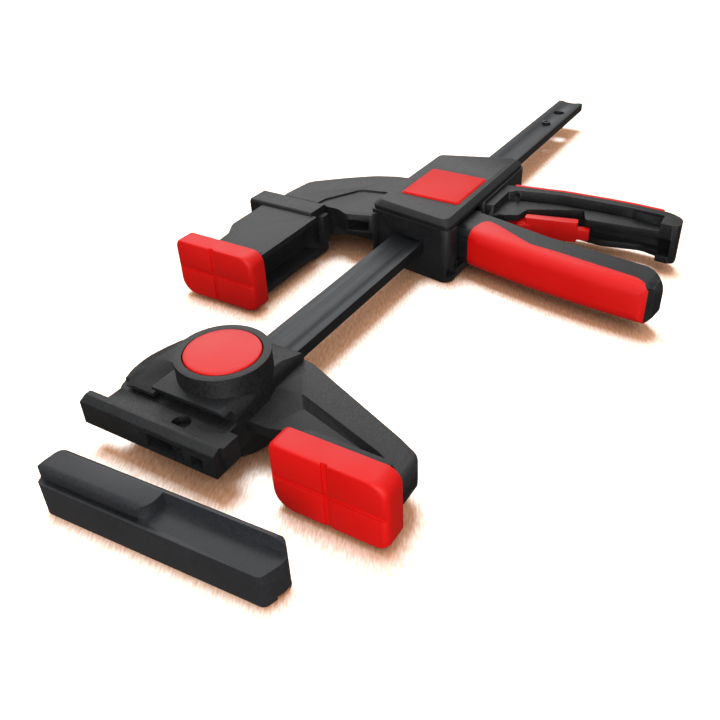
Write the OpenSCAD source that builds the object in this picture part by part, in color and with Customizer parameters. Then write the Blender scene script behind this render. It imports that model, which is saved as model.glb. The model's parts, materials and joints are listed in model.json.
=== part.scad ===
// One-handed quick release bar clamp, lying on its side on a bench.
// +X runs along the bar away from the fixed jaw, +Y towards the sliding jaw's arm, +Z up from the bench.
// The origin is on the bench, under the axis that the fixed jaw turns about.

/* [Bar] */
// Width of the steel bar
bar_w = 20; // [18:0.5:22]
// Thickness of the steel bar
bar_t = 6; // [5:0.5:7]
// Length of the bar from the pivot to its free end
bar_len = 442; // [400:1:500]
// Height of the middle of the bar above the bench
mid_z = 19; // [19:0.5:21]
// Width of the hollow rolled into each broad face
groove_w = 14; // [8:0.5:15]
// Depth of that hollow
groove_d = 0.9; // [0.3:0.1:1.4]
// Diameter of the open hole near the free end
end_hole_d = 9; // [4:0.5:10]
// Distance of that hole from the free end
end_hole_in = 30; // [15:1:40]
// Diameter of the stop pin
stop_d = 6.5; // [5:0.5:7]
// Distance of the stop pin from the free end
stop_in = 60; // [50:1:80]
// How far the stop pin stands out of each face
stop_out = 1; // [0.5:0.5:4]

/* [Fixed jaw] */
// Height of the raised plate that carries the turret
plate_top = 32; // [31:0.5:33]
// Height of the turret's rim
turret_top = 40.8; // [40:0.2:42]
// Radius of the turret
turret_r = 19.8; // [19:0.1:22]
// Radius of the red release button
button_r = 16; // [15.6:0.1:16.4]
// How far the button can be pressed
button_travel = 2.5; // [2:0.1:2.6]
// Diameter of the pivot post
post_d = 10; // [8:0.5:11]
// Radius of the rounded left side of the head
head_r = 42; // [38:0.5:44]
// Distance from the pivot to the end of the sleeve over the bar
sleeve_x = 29; // [27:0.5:34]
// Thickness of the sleeve's side wall
sleeve_wall = 4; // [3:0.5:6]
// Height of the raised outer band of the arm
arm_top = 24.5; // [24:0.5:26]
// Height of the sunk inner face of the arm
arm_web = 21.5; // [20.5:0.5:22.5]
// Reach of the fixed jaw from the bar's middle to the pad's middle
reach = 69; // [66:1:76]

/* [Rail adapter] */
// Length of the rail on the front of the head
rail_len = 70; // [60:1:76]
// How far the rail's middle lies to the left of the pivot
rail_shift = 10.5; // [8:0.5:12]
// Height of the rail's top
rail_top = 26; // [25:0.5:27]
// Height of the rail's front face
rail_h = 13; // [11:0.5:13]
// Depth of the rail's head, front to back
rail_d = 7; // [6:0.5:9]

/* [Pads] */
// Width of a clamping pad
pad_w = 51.5; // [42:0.5:54]
// Height of a clamping pad
pad_h = 31.5; // [28:0.5:33]
// Thickness of a clamping pad
pad_t = 11; // [8:0.5:13]
// Width of the cross grooves in a pad's face
pad_groove = 2.8; // [1:0.1:3.5]

/* [Sliding jaw] */
// Distance from the pivot to the front of the housing, on the right side
slide_x = 153; // [150:1:170]
// Length of the housing on the handle side
slide_len = 113; // [110:1:125]
// Half width of the housing
slide_hw = 28; // [27:0.5:31]
// Height of the housing's body
body_top = 33; // [32.5:0.5:35]
// Height of the cover plate above the body
cover_h = 5; // [3:0.5:7]
// Wall of the housing
wall = 4; // [3:0.5:5]
// Length of the extension block between the cross rail and its pad
ext_len = 52; // [46:1:60]

/* [Handles] */
// Thickness of the handles across the clamp
handle_h = 24; // [22:0.5:26]
// How far the handles reach from the middle of the bar
handle_reach = 137; // [125:1:150]
// Width of the pump lever
lever_w = 23; // [20:0.5:25]
// Angle of the pump lever at rest, away from square to the bar
lever_lean = 9; // [7:0.5:10]
// How far the pump lever is squeezed
lever_swing = 12; // [8:1:12]
// Diameter of the lever's pin
lever_pin_d = 6; // [5:0.5:7]
// How far the release trigger is pulled
trigger_swing = 8; // [5:1:8]
// Diameter of the trigger's pin
trigger_pin_d = 4; // [3:0.5:5]

/* [Support block] */
// Length of the loose support block
block_len = 109; // [100:1:116]
// Height of the support block
block_h = 21.5; // [20:0.5:24]
// Depth of the support block
block_d = 15; // [14:0.5:18]

/* [Fits] */
// Radial clearance of a shaft in its bore
run_fit = 0.05; // [0.02:0.01:0.09]
// Clearance between sliding faces
slide_fit = 0.3; // [0.2:0.05:0.4]

/* [Hidden] */

$fn = 64;
eps = 0.01;
over = 1;

plastic = "#2b2c2e";
steel = "#55585b";
zinc = "#9a9da0";
red = "#d81710";

bar_z0 = mid_z - bar_t / 2;
bar_z1 = mid_z + bar_t / 2;
bar_hw = bar_w / 2;
slot_hw = bar_hw + slide_fit;
slot_z0 = bar_z0 - slide_fit;
slot_z1 = bar_z1 + slide_fit;
groove_r = (groove_w * groove_w / 4 + groove_d * groove_d) / (2 * groove_d);
stop_x = bar_len - stop_in;
end_hole_x = bar_len - end_hole_in;

// ---- outlines -------------------------------------------------------------------------------------------------

// Angle from a to b, wrapped into -180..180
function turn(a, b) = let (d = b - a) d > 180 ? d - 360 : d < -180 ? d + 360 : d;

// Arc that rounds the corner p1 between p0 and p2 with radius r
function corner(p0, p1, p2, r, n = 6) =
    let (
        u = (p0 - p1) / norm(p0 - p1),
        v = (p2 - p1) / norm(p2 - p1),
        half = acos(max(-1, min(1, u * v))) / 2,
        room = 0.49 * min(norm(p0 - p1), norm(p2 - p1)),
        reach_in = min(r / tan(half), room),
        rr = reach_in * tan(half),
        mid = (u + v) / norm(u + v),
        cen = p1 + mid * (rr / sin(half)),
        s = p1 + u * reach_in - cen,
        e = p1 + v * reach_in - cen,
        a0 = atan2(s.y, s.x),
        da = turn(a0, atan2(e.y, e.x))
    )
    r < eps ? [p1] : [for (i = [0:n]) cen + rr * [cos(a0 + da * i / n), sin(a0 + da * i / n)]];

// Closed outline from [x, y, corner radius] points
function rounded(p) =
    let (n = len(p))
    [for (i = [0:n - 1])
        let (a = p[(i + n - 1) % n], b = p[i], c = p[(i + 1) % n])
        each corner([a.x, a.y], [b.x, b.y], [c.x, c.y], b.z)];

module slab(points, z0, z1) {
    translate([0, 0, z0])
        linear_extrude(z1 - z0)
            polygon(rounded(points));
}

// Box from two corners
module box(a, b) {
    translate(a)
        cube(b - a);
}

// Post along Z
module post(x, y, r, z0, z1) {
    translate([x, y, z0])
        cylinder(r = r, h = z1 - z0);
}

// Shape drawn in X-Z, run along Y
module along_y(points, y0, y1) {
    translate([0, y1, 0])
        rotate([90, 0, 0])
            linear_extrude(y1 - y0)
                polygon(rounded(points));
}

// Shape drawn in Y-Z, run along X
module along_x(points, x0, x1) {
    translate([x0, 0, 0])
        rotate([90, 0, 90])
            linear_extrude(x1 - x0)
                polygon(rounded(points));
}

// Coil spring along +Z from the origin, closed by flat-cut ends
module coil(mean_r, wire_r, height, turns, sides = 8, steps = 14) {
    n = ceil(turns * steps);
    rise = height - 2 * wire_r;
    pts = [for (i = [0:n]) let (a = 360 * turns * i / n)
        for (j = [0:sides - 1]) let (b = 360 * j / sides, r = mean_r + wire_r * cos(b))
            [r * cos(a), r * sin(a), wire_r + rise * i / n + wire_r * sin(b)]];
    skin = [for (i = [0:n - 1]) for (j = [0:sides - 1]) let (k = (j + 1) % sides)
        [i * sides + j, (i + 1) * sides + j, (i + 1) * sides + k, i * sides + k]];
    ends = [[for (j = [0:sides - 1]) j], [for (j = [0:sides - 1]) (n + 1) * sides - 1 - j]];
    polyhedron(points = pts, faces = concat(skin, ends), convexity = 8);
}

// ---- bar --------------------------------------------------------------------------------------------------------

module clamp_bar() {
    groove_from = turret_r + over;
    color(steel)
        difference() {
            union() {
                box([0, -bar_hw, bar_z0], [bar_len, bar_hw, bar_z1]);
                post(0, 0, bar_hw, bar_z0, bar_z1);
            }
            for (side = [-1, 1])
                translate([groove_from, 0, mid_z + side * (bar_t / 2 - groove_d + groove_r)])
                    rotate([0, 90, 0])
                        cylinder(r = groove_r, h = bar_len - groove_from + over, $fn = 160);
            post(0, 0, post_d / 2, bar_z0 - over, bar_z1 + over);
            post(end_hole_x, 0, end_hole_d / 2, bar_z0 - over, bar_z1 + over);
            post(stop_x, 0, stop_d / 2, bar_z0 - over, bar_z1 + over);
        }
}

// Rolled spring pin: a tube split along its length
module stop_pin() {
    tube_t = 1.5;
    color(steel)
        difference() {
            post(stop_x, 0, stop_d / 2, bar_z0 - stop_out, bar_z1 + stop_out);
            post(stop_x, 0, stop_d / 2 - tube_t, bar_z0 - stop_out - over, bar_z1 + stop_out + over);
            box([stop_x, -0.4, bar_z0 - stop_out - over], [stop_x + stop_d, 0.4, bar_z1 + stop_out + over]);
        }
}

// ---- fixed jaw's pivot and lock ---------------------------------------------------------------------------------

cap_h = 4;
foot_h = 2;
head_z0 = cap_h;
lock_floor = slot_z1 + 3;
cone_t = 2.2;
cone_r = 13.8;
cone_in = 1.2;
cone_z0 = lock_floor + button_travel + 1.5;
cone_z1 = cone_z0 + cone_t;
seat_z0 = cone_z0 - 0.1;
seat_z1 = cone_z1 + 0.3;
post_sq = post_d * 0.66;

// Radius of the lock cone at a height
function cone_at(z) = cone_r - cone_in * (z - cone_z0) / cone_t;

// Part of the lock cone between two heights, grown by a clearance
module cone_piece(z0, z1, fit) {
    translate([0, 0, z0])
        cylinder(r1 = cone_at(z0) + fit, r2 = cone_at(z1) + fit, h = z1 - z0);
}

module pivot_post() {
    color(zinc)
        union() {
            post(0, 0, post_d / 2, cap_h - foot_h, lock_floor);
            post(0, 0, post_d / 2 + 3, cap_h - foot_h, cap_h - slide_fit);
            box([-post_sq / 2, -post_sq / 2, lock_floor], [post_sq / 2, post_sq / 2, cone_z1 - 0.2]);
        }
}

// Slides on the post's square end and wedges in the head's seat
module lock_cone() {
    hole = post_sq / 2 + 0.1;
    color(zinc)
        difference() {
            cone_piece(cone_z0, cone_z1, 0);
            box([-hole, -hole, cone_z0 - over], [hole, hole, cone_z1 + over]);
        }
}

module lock_spring() {
    wire = 0.5;
    color(zinc)
        translate([0, 0, lock_floor])
            coil(8.5, wire, cone_z0 - lock_floor, 2);
}

// Red disc with a low crown and a tube that pushes the lock cone down
module release_button() {
    crown_r = 120;
    top = turret_top + 1.5;
    tube_r = post_d / 2 + 2;
    color(red)
        difference() {
            union() {
                intersection() {
                    post(0, 0, button_r, turret_top - 3.4, top + over);
                    translate([0, 0, top - crown_r])
                        sphere(r = crown_r, $fn = 200);
                }
                post(0, 0, tube_r, cone_z1 + 0.05, turret_top - 3);
            }
            post(0, 0, post_d / 2 + 0.6, cone_z1 - over, turret_top - 4);
        }
}

// ---- fixed jaw --------------------------------------------------------------------------------------------------

front_x = -25;
side_y = 19.8;
side_skew = 3;
pad_x1 = -19;
pad_x0 = pad_x1 - pad_t;
carrier_t = 6;
arm_bot = 2 * mid_z - arm_top;
web_bot = 2 * mid_z - arm_web;
sleeve_hw = slot_hw + sleeve_wall;

arm_end = -reach - 26;

// Plan of the arm from the root at the sleeve's end to the pad
arm_plan = [
    [sleeve_x, -12, 0], [sleeve_x, -18.5, 1], [sleeve_x - 1, -24, 8], [4.4, -reach - 11.4, 30],
    [-1, arm_end + 3.7, 8], [-9, arm_end, 8], [pad_x1 + 0.5, arm_end, 2], [pad_x1 + 0.5, 22 - reach, 4],
    [-9, 28 - reach, 5], [-12.5, -30, 10], [-13, -12, 0]
];
// Sunk inner field of the arm, its rim and its floor
arm_field = [
    [-24, -18, 0], [7.5, -18, 0], [8.8, -32, 8], [-6.2, -reach - 8.4, 20], [-11, -reach - 18, 8],
    [-17, arm_end + 1.5, 3], [-22, arm_end - 3, 0], [-40, arm_end - 3, 0], [-40, -24, 0]
];

arm_floor = [
    [-24, -18, 0], [2, -18, 0], [3.9, -36, 8], [-6, -reach - 2, 30], [-10.5, -reach - 13, 8],
    [-15, -reach - 20.5, 6], [-22, arm_end, 0], [-40, arm_end, 0], [-40, -28, 0]
];

module arm_hollow(z_floor, z_rim) {
    up = z_rim > z_floor;
    hull() {
        slab(arm_floor, min(z_floor, z_rim), max(z_floor, z_rim));
        slab(arm_field, up ? z_rim : z_rim - over, up ? z_rim + over : z_rim);
    }
}

module sweep_slot() {
    out = 2 * head_r;
    post(0, 0, slot_hw, slot_z0, slot_z1);
    box([0, -slot_hw, slot_z0], [out, out, slot_z1]);
    box([-slot_hw, 0, slot_z0], [out, out, slot_z1]);
}

// Limits the head by its right wall, which has a rounded shoulder
module right_side() {
    far = 2 * head_r;
    rotate([0, 0, side_skew])
        along_x([[-side_y, 0, 0], [far, 0, 0], [far, plate_top, 0], [-side_y, plate_top, 6]], -far, far);
}

// Solid head before it is hollowed: sleeve, rounded left side, raised plate and turret
module head_mass() {
    low_top = rail_top;
    low_bot = 2 * mid_z - rail_top;
    outline = [
        [front_x, -side_y - 4, 0], [sleeve_x, -side_y - 4, 0], [sleeve_x, sleeve_hw, 3],
        [24, 26, 14], [9, head_r - 8, 14], [-7, head_r + 1, 18], [front_x, head_r - 5, 3]
    ];
    intersection() {
        slab(outline, low_bot, low_top - 2);
        right_side();
    }
    post(0, 0, cap_r + 0.5, head_z0, low_bot + over);
    intersection() {
        slab(outline, low_top - 2.5, plate_top);
        union() {
            post(0, 0, head_r + 2 * over, low_top - 2.5, low_top);
            translate([0, 0, low_top])
                cylinder(r1 = head_r + 0.5, r2 = head_r - 12.5, h = plate_top - low_top, $fn = 96);
            box([front_x, -head_r, low_top - over], [0, 20, plate_top]);
            box([0, -head_r, low_top - over], [sleeve_x, sleeve_hw, plate_top]);
        }
        along_y([[front_x, 0, 0], [sleeve_x, 0, 0], [sleeve_x, low_top + 2, 1.5],
            [turret_r - 3, plate_top - 1, 8],
            [0, plate_top, 0], [front_x, plate_top, 0]], -head_r, head_r + 2 * over);
        right_side();
    }
    post(0, 0, turret_r, low_top, turret_top);
}

module fixed_jaw() {
    step_y = 18.5;
    shelf_z = rail_top + 2;
    lip_t = 1.3;
    lip_in = 1.6;
    gap_in = 1;
    nose_r = (arm_top - arm_bot) * 0.48;
    color(plastic)
        difference() {
            union() {
                head_mass();
                difference() {
                    intersection() {
                        slab(arm_plan, arm_bot, arm_top);
                        along_x([[0, arm_bot, 0], [0, arm_top, 0], [arm_end, arm_top, nose_r],
                            [arm_end, arm_bot, nose_r]], pad_x1, sleeve_x + over);
                    }
                    arm_hollow(arm_web, arm_top);
                    arm_hollow(web_bot, arm_bot);
                }
                slab([[pad_x1, 20 - reach, 2], [pad_x1 + carrier_t, 19 - reach, 2],
                    [pad_x1 + carrier_t, -reach - 18, 3], [pad_x1, -reach - 20, 1]], mid_z - 11, mid_z + 11);
            }
            sweep_slot();
            // pocket for the rail adapter's tongue
            box([front_x - over, -slot_hw, slot_z0], [0, slot_hw, slot_z1]);
            // the plate's left front slopes down to a low edge
            along_y([[front_x - over, shelf_z, 0], [front_x, shelf_z, 0], [front_x + 18, plate_top, 0],
                [front_x + 18, plate_top + over, 0], [front_x - over, plate_top + over, 0]],
                step_y, head_r + 2 * over);
            // gap between the rail's neck and the plate, which overhangs it as a thin lip
            box([front_x - over, -head_r, rail_top - gap_in], [front_x + 6, step_y, plate_top - lip_t]);
            box([front_x - over, -head_r, rail_top - gap_in],
                [front_x + lip_in, head_r + 2 * over, plate_top + over]);
            box([front_x - over, 0, rail_top - gap_in], [front_x + 6, head_r + 2 * over, shelf_z - lip_t]);
            post(0, 0, post_d / 2 + run_fit, 0, lock_floor + over);
            post(0, 0, post_d / 2 + 3.3, 0, cap_h + eps);
            // lock chamber, the cone's seat above it, and the button's well
            post(0, 0, cone_r + 0.5, lock_floor, seat_z0);
            cone_piece(seat_z0 - eps, seat_z1, run_fit);
            post(0, 0, button_r + 0.5, seat_z1 - eps, turret_top + over);
            for (a = cap_screw_angles)
                rotate([0, 0, a])
                    post(cap_screw_r, 0, 1.25, head_z0 - over, head_z0 + 7);
        }
}

cap_r = 20.5;
cap_screw_r = 16;
cap_screw_angles = [45, 135, 225, 315];

module pivot_cap() {
    color(plastic)
        difference() {
            union() {
                post(0, 0, cap_r - 1, 0, cap_h);
                post(0, 0, cap_r, 1, cap_h);
            }
            post(0, 0, post_d / 2 + 3.4, cap_h - foot_h - 0.3, cap_h + over);
            for (a = cap_screw_angles)
                rotate([0, 0, a]) {
                    post(cap_screw_r, 0, 1.6, -over, cap_h + over);
                    post(cap_screw_r, 0, 3.1, -over, 2.2);
                }
        }
}

// Pan head screw standing along +Z, its head from z0 down
module screw(head_r, head_h, shank_r, shank_len) {
    difference() {
        union() {
            cylinder(r = head_r, h = head_h);
            translate([0, 0, head_h - eps])
                cylinder(r = shank_r, h = shank_len);
        }
        for (a = [0, 90])
            rotate([0, 0, a])
                translate([-head_r * 0.6, -0.4, -over])
                    cube([head_r * 1.2, 0.8, over + head_h * 0.6]);
    }
}

module cap_screws() {
    color(zinc)
        for (a = cap_screw_angles)
            rotate([0, 0, a])
                translate([cap_screw_r, 0, 0.5])
                    screw(2.9, 1.7, 1.25, 7.5);
}

// ---- pads -------------------------------------------------------------------------------------------------------

// Soft pad with its face at x = 0, looking towards -X, centred on y = 0 and z = 0
module pad() {
    hh = pad_h / 2;
    side_r = 3;
    rim_r = 0.8;
    groove_t = 1;
    difference() {
        hull()
            for (a = [0:15:90])
                let (
                    x = side_r * (1 - sin(a)),
                    hw = pad_w / 2 - side_r * (1 - cos(a)),
                    low = max(0, rim_r - x),
                    hz = hh - rim_r + sqrt(rim_r * rim_r - low * low)
                )
                    along_x([[-hw, -hz, 3.5], [hw, -hz, 7.5], [hw, hz, 4.5], [-hw, hz, 6.5]], x, pad_t);
        box([-over, -pad_groove / 2, -hh - over], [groove_t, pad_groove / 2, hh + over]);
        box([-over, -pad_w, -pad_groove / 2], [groove_t, pad_w, pad_groove / 2]);
    }
}

module fixed_pad() {
    color(red)
        translate([pad_x0, -reach, mid_z - 0.5])
            pad();
}

// ---- rail adapter -----------------------------------------------------------------------------------------------

rail_x1 = front_x - 6;
rail_x0 = rail_x1 - rail_d;
rail_y0 = rail_shift - rail_len / 2;
rail_y1 = rail_shift + rail_len / 2;
rail_z0 = rail_top - rail_h;

module rail_adapter() {
    neck_y0 = rail_y0 - 1.5;
    neck_y1 = rail_y1 - 10;
    window_z0 = rail_z0 + 2.1;
    window_z1 = rail_z0 + 9.3;
    color(plastic)
        difference() {
            union() {
                along_y([[rail_x0, rail_z0 + 0.5, 0], [rail_x0 + 0.5, rail_z0, 0], [rail_x1, rail_z0, 1],
                    [rail_x1, rail_top, 1.5], [rail_x0 + 3.5, rail_top, 1], [rail_x0, rail_top - 1.6, 1]],
                    rail_y0, rail_y1);
                box([rail_x1 - 2.5, neck_y0, rail_z0 + 2], [front_x, neck_y1, rail_top]);
                box([front_x - over, -slot_hw + 0.2, bar_z0], [-bar_hw - 1.5, slot_hw - 0.2, bar_z1]);
            }
            // window with a slanted rib, and a small square hole beside it
            difference() {
                box([rail_x0 - over, -bar_hw + 1, window_z0], [rail_x1 + 2, bar_hw, window_z1]);
                translate([rail_x0 + 3, -0.5, window_z0])
                    along_x([[-2.5, 0, 0], [0, 0, 0], [3, window_z1 - window_z0, 0],
                        [0.5, window_z1 - window_z0, 0]],
                        0, rail_d);
            }
            box([rail_x0 - over, -bar_hw - 8.5, window_z0], [rail_x0 + 5, -bar_hw - 2.5, window_z0 + 5.5]);
            // half-round hole in the neck's top
            intersection() {
                post(rail_x1 + 1.5, -1.6, 3.9, rail_top - 4, rail_top + over);
                box([rail_x1 - 0.5, -14, 0], [front_x - 0.5, 14, rail_top + 2]);
            }
        }
}

// ---- sliding jaw ------------------------------------------------------------------------------------------------

cover_in = 1.2;
rear_skew = 18;
front_skew = 8;
slide_x1 = slide_x + slide_len;
pin_x = slide_x + 33;
pin_y = 16;
handle_z0 = mid_z - handle_h / 2;
handle_z1 = mid_z + handle_h / 2;
handle_x = slide_x1 - 24;
handle_web_z1 = mid_z + 7;
handle_cav_z0 = mid_z - 8;
handle_cav_z1 = mid_z + 3;
brake_x = slide_x + 78;
brake_t = 3;
brake_pivot_y = 17;
brake_tilt = 2.5;
rib_x = slide_x + 70;
trig_x = slide_x + 63;
trig_y = -slide_hw - 3;
arm_y1 = 85;
arm_z = 12.5;
rail_neck = 5;
rail_head = 9;

// Trapezoid plan of the housing, shrunk by s all round
function housing_plan(s, r) = [
    [slide_x + s, -slide_hw + s, r], [slide_x1 - s, -slide_hw + s, r],
    [slide_x1 - rear_skew - s, slide_hw - s, r], [slide_x + front_skew + s, slide_hw - s, r]
];

slide_arm_plan = [
    [slide_x + front_skew - 1, slide_hw - 6, 0], [slide_x + 62, slide_hw - 6, 0], [slide_x + 59, 39, 16],
    [slide_x + 53, 52, 30], [slide_x + 41, 67, 30], [slide_x + 26, arm_y1 - 2, 10], [slide_x + 6, arm_y1, 10],
    [slide_x + 2, arm_y1, 1], [slide_x + 2, 46, 6], [slide_x - 1.5, 39, 4], [slide_x + 3.5, 24, 4]
];
slide_arm_field = [
    [slide_x - 10, 24, 0], [slide_x + 37, 24, 0], [slide_x + 31, 48, 6], [slide_x + 9, 60, 6],
    [slide_x - 10, 62, 0]
];
// The arm's lower half stands back from its inner edge
slide_arm_under = [
    [slide_x - 10, 24, 0], [slide_x + 17, 24, 0], [slide_x + 17.5, 50, 6], [slide_x + 10, 59, 6],
    [slide_x - 10, 60, 0]
];

// Closing screws: two in front of the mechanism and two behind it
cover_screw_at = [
    [slide_x + 8, -slide_hw + 8], [slide_x + 14, slide_hw - 8],
    [slide_x1 - 15, -slide_hw + 9], [slide_x1 - 23, slide_hw - 7]
];

// Fixed handle in plan: outer edge, inner side of its rim, crest of the web, and near edges of web and floor
handle_far = [
    [handle_x - 8, -slide_hw + 1, 0], [handle_x - 6, -42, 12], [handle_x - 1.8, -64, 40], [handle_x, -90, 40],
    [handle_x + 0.5, -handle_reach + 30, 30], [handle_x - 0.6, -handle_reach + 9, 12],
    [handle_x - 6, -handle_reach, 9], [handle_x - 16, -handle_reach, 6], [handle_x - 18, -handle_reach + 4, 2],
    [handle_x - 17.5, -handle_reach + 9.5, 0]
];
handle_rim = [
    [handle_x - 12.5, -38, 4], [handle_x - 7, -62, 40], [handle_x - 5.5, -88, 40],
    [handle_x - 5, -handle_reach + 30, 30], [handle_x - 6, -handle_reach + 11, 2]
];
handle_crest = [
    [handle_x - 17, -38, 3], [handle_x - 10.5, -62, 40], [handle_x - 9, -88, 40],
    [handle_x - 8.5, -handle_reach + 30, 30], [handle_x - 10, -handle_reach + 11, 1]
];
handle_near = [
    [handle_x - 41, -slide_hw + 1, 0], [handle_x - 39, -40, 5], [handle_x - 35.5, -47, 3],
    [handle_x - 25.5, -49, 3], [handle_x - 10.5, -79.5, 2], [handle_x - 22.5, -84, 2],
    [handle_x - 20.5, -100, 20], [handle_x - 17.5, -handle_reach + 11, 0]
];
handle_floor = [
    [handle_x - 34, -slide_hw + 1, 0], [handle_x - 31, -42, 4], [handle_x - 13, -49, 4],
        [handle_x - 13, -80, 2],
    [handle_x - 14.5, -93, 20], [handle_x - 9, -handle_reach + 21, 12], [handle_x - 12, -handle_reach + 11, 0]
];

function back(p) = [for (i = [len(p) - 1:-1:0]) p[i]];

module fixed_handle() {
    start_y = -slide_hw - 5;
    cap_y = -handle_reach + 10;
    end_y = -handle_reach + 3.5;
    difference() {
        slab(concat(handle_near, back(handle_far)), handle_z0, handle_z1);
        // floor set back from the web
        slab(concat([[handle_x - 60, -slide_hw + 1, 0]], handle_floor, [[handle_x - 60, cap_y, 0]]),
            handle_z0 - over, handle_cav_z1);
        // hollow between floor and web, open towards the lever
        slab([[handle_x - 60, -slide_hw + 1, 0], [handle_x - 11, -slide_hw + 1, 0], [handle_x - 6, -64, 30],
            [handle_x - 5, -90, 30], [handle_x - 5.5, cap_y + 2, 3], [handle_x - 10, end_y, 3],
                [handle_x - 60, end_y, 0]],
            handle_cav_z0, handle_cav_z1);
        // upper side of the web: flat, then rising to a crest beside a deep groove
        slab(concat([[handle_x - 60, start_y, 0], [handle_x - 17, start_y, 1]],
            handle_crest, [[handle_x - 60, cap_y, 0]]),
            handle_web_z1, handle_z1 + over);
        slab(concat([[handle_x - 18, start_y, 0]],
            handle_rim, back(handle_crest)), handle_web_z1 + 2, handle_z1 + over);
        slab(concat(handle_rim, back(handle_crest)), handle_cav_z0, handle_z1);
    }
}

module slide_body() {
    cav_y = slide_hw - wall;
    cav_x0 = slide_x + 20;
    cav_x1 = brake_x + 10;
    color(plastic)
        difference() {
            union() {
                slab(housing_plan(0, 5), 1, body_top);
                slab(housing_plan(1, 4), 0, 2);
                difference() {
                    slab(slide_arm_plan, mid_z - arm_z, mid_z + arm_z);
                    slab(slide_arm_field, mid_z + arm_z - 1, mid_z + arm_z + over);
                    slab(slide_arm_under, mid_z - arm_z - over, mid_z);
                    // moulded window in the inner edge
                    box([slide_x - 4, 26, mid_z + 1.5], [slide_x + 12, 38, mid_z + 8]);
                }
                box([slide_x - 1.5, 51, mid_z - rail_neck], [slide_x + 3, arm_y1 + 8, mid_z + rail_neck]);
                box([slide_x - 7, 51, mid_z - rail_head], [slide_x - 1, arm_y1 + 8, mid_z + rail_head]);
                fixed_handle();
            }
            // mechanism chamber
            difference() {
                slab([[cav_x0, -cav_y, 2], [cav_x1, -cav_y, 2], [cav_x1, cav_y - 1, 2], [cav_x0, cav_y - 1, 2]],
                    wall, body_top + over);
                box([rib_x, -14, 0], [rib_x + 3, 14, body_top]);
                // seat for the upper end of the brake plate
                for (x = [brake_x - 3, brake_x + brake_t + 0.35])
                    box([x, brake_pivot_y - 1.5, 0], [x + 2.65, slide_hw, body_top]);
            }
            // bar windows, front and rear
            box([slide_x - over, -slot_hw, slot_z0], [slide_x1 + over, slot_hw, slot_z1]);
            // shallow panel and notch at the corner beside the pump lever
            box([slide_x + 2, -slide_hw - over, 9], [slide_x + 9.5, 0.5 - slide_hw, 24]);
            box([slide_x + 1.5, -slide_hw - over, 4], [slide_x + 9.5, 4 - slide_hw, 9.5]);
            // way out for the pump lever
            box([slide_x + 10, -slide_hw - over, handle_z0 - 1],
                [slide_x + 35 + lever_swing, -cav_y + over, body_top + over]);
            box([slide_x + 13, -cav_y, handle_z0 - 1], [cav_x0 + over, -4, body_top + over]);
            // room for the trigger's arm and the end of the brake plate
            slab([[trig_x - 2 - trigger_swing, -slide_hw - 25, 0], [brake_x + 4, -slide_hw - 25, 2],
                [brake_x + 5, -cav_y + over, 0],
                [trig_x - 2 - trigger_swing, -cav_y + over, 0]], handle_cav_z0, handle_cav_z1);
            post(pin_x, pin_y, lever_pin_d / 2, 1.5, body_top + over);
            post(trig_x, trig_y, trigger_pin_d / 2, handle_z0 + 1, handle_web_z1 - 1);
            for (p = cover_screw_at) {
                post(p.x, p.y, 1.6, -over, body_top + over);
                post(p.x, p.y, 3.2, -over, 2.6);
            }
        }
}

module body_cover() {
    base_h = cover_h * 0.45;
    color(plastic)
        difference() {
            hull() {
                slab(housing_plan(cover_in, 4), body_top, body_top + base_h);
                slab(housing_plan(cover_in + 3, 4), body_top, body_top + cover_h);
            }
            slab(badge_plan(0), body_top + cover_h - 0.8, body_top + cover_h + over);
            post(pin_x, pin_y, lever_pin_d / 2, body_top - over, body_top + 1.5);
            for (p = cover_screw_at)
                post(p.x, p.y, 1.3, body_top - over, body_top + cover_h - 1.5);
        }
}

module cover_screws() {
    color(zinc)
        for (p = cover_screw_at)
            translate([p.x, p.y, 0.5])
                screw(3, 2, 1.3, body_top);
}

function badge_plan(s) = let (x0 = slide_x + 25.5, x1 = slide_x + 67, y0 = -20.5, y1 = 17) [
    [x0 + s, y0 + s, 1.2], [x1 - s, y0 + s, 1.2], [x1 - s, y1 - s, 1.2], [x0 + s, y1 - s, 1.2]
];

// Bare plate set into the cover
module badge_plate() {
    z = body_top + cover_h - 0.8;
    color(red)
        union() {
            slab(badge_plan(0.15), z, z + 1.1);
            slab(badge_plan(0.8), z, z + 1.6);
        }
}

// Thin soft strip let along the far side of the fixed handle
module handle_strip() {
    t = 2.5;
    line = concat([[handle_x - 7.2, -slide_hw - 5, 0]], [for (i = [1:4]) handle_far[i]],
        [[handle_x - 0.4, 13 - handle_reach, 0]]);
    color(red)
        slab(concat([for (p = line) [p.x + 0.05, p.y, p.z]], back([for (p = line) [p.x + t, p.y, p.z]])),
            handle_z0 + 2, handle_z1 + 0.2);
}

module lever_pin() {
    color(zinc)
        post(pin_x, pin_y, lever_pin_d / 2, 1.5, body_top + 1.5);
}

module trigger_pin() {
    color(zinc)
        post(trig_x, trig_y, trigger_pin_d / 2, handle_z0 + 1, handle_web_z1 - 1);
}

// ---- pump lever -------------------------------------------------------------------------------------------------

// Lever drawn with the pin at the origin, x across it and y outwards, then leaned back and turned into place
module lever_place() {
    translate([pin_x, pin_y, 0])
        rotate([0, 0, -lever_lean])
            mirror([0, 1, 0])
                children();
}

lever_len = (handle_reach + pin_y + 5) / cos(lever_lean) + 2;
near = -2 * lever_w / 3;
far = near + lever_w;
root_y = slide_hw + pin_y + 3;
near_r = 520;
bulge_y = 96;
lever_plan = [
    [near - 2, root_y - 8, 0], [near - 2, lever_len - 19, 0], [near + 3.4, lever_len - 8, 10],
    [near + 10, lever_len, 10], [far - 7, lever_len, 10], [far + 1, lever_len - 12, 12],
    [far, 110, 40], [far - 1, 92, 30], [far + 2, 60, 16], [far + 3, root_y - 8, 0]
];
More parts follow.
